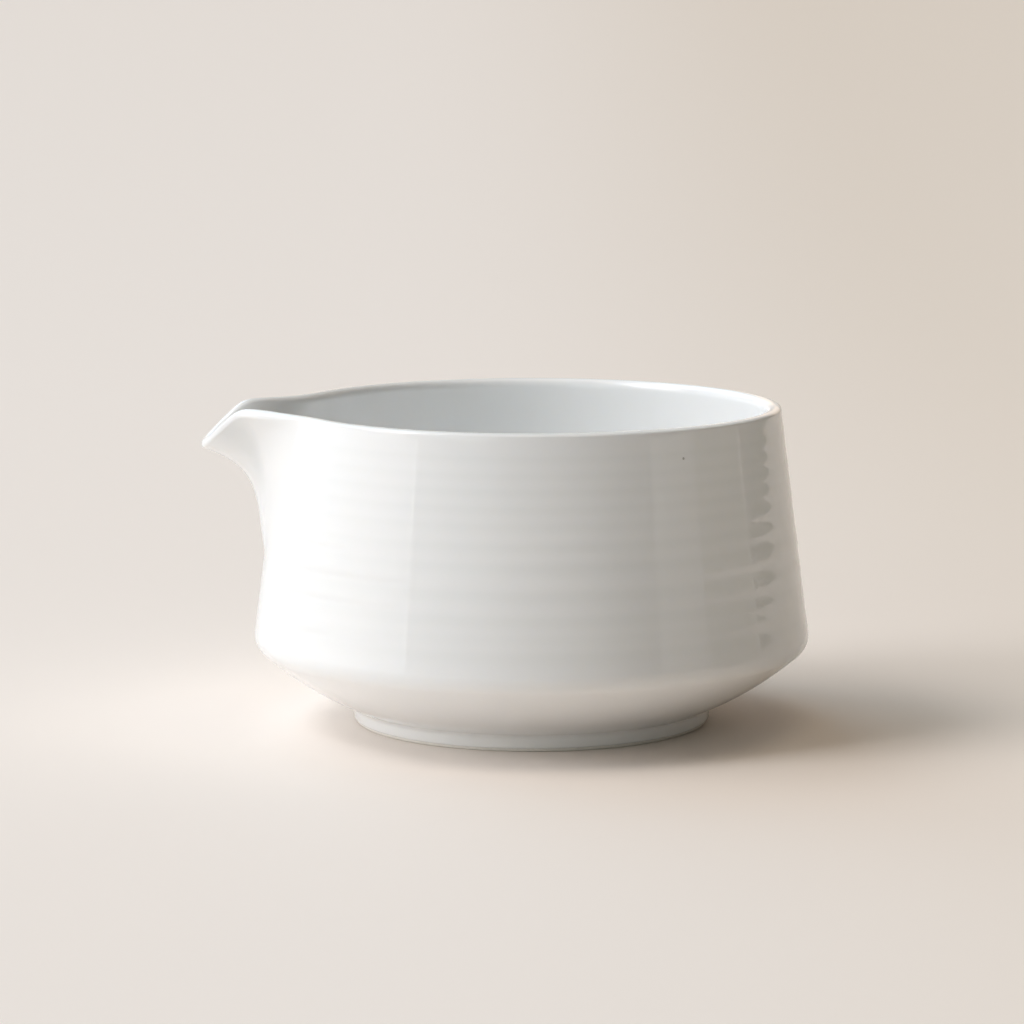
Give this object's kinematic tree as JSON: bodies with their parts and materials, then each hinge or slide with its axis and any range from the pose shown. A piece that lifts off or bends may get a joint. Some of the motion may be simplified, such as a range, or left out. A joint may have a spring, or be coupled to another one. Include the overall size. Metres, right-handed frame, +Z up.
{
  "type": "spouted bowl",
  "caption": "Round conical bowl on a low foot ring, with one short beak-like pouring spout at the rim.",
  "frame": {"origin": "bottom centre of the whole bowl's box, on the plane that the foot ring stands on", "axes": "+Z up through the bowl, -X towards the spout's tip"},
  "size_m": [0.131, 0.12, 0.0688],
  "materials": {
    "porcelain": "matte",
    "glaze": "gloss",
    "liner_glaze": "gloss"
  },
  "bodies": {
    "root": {"bowl_body": "porcelain", "spout": "porcelain", "foot_ring": "porcelain", "outer_glaze": "glaze", "inner_glaze": "liner_glaze", "foot_well_glaze": "glaze"}
  },
  "joints": []
}
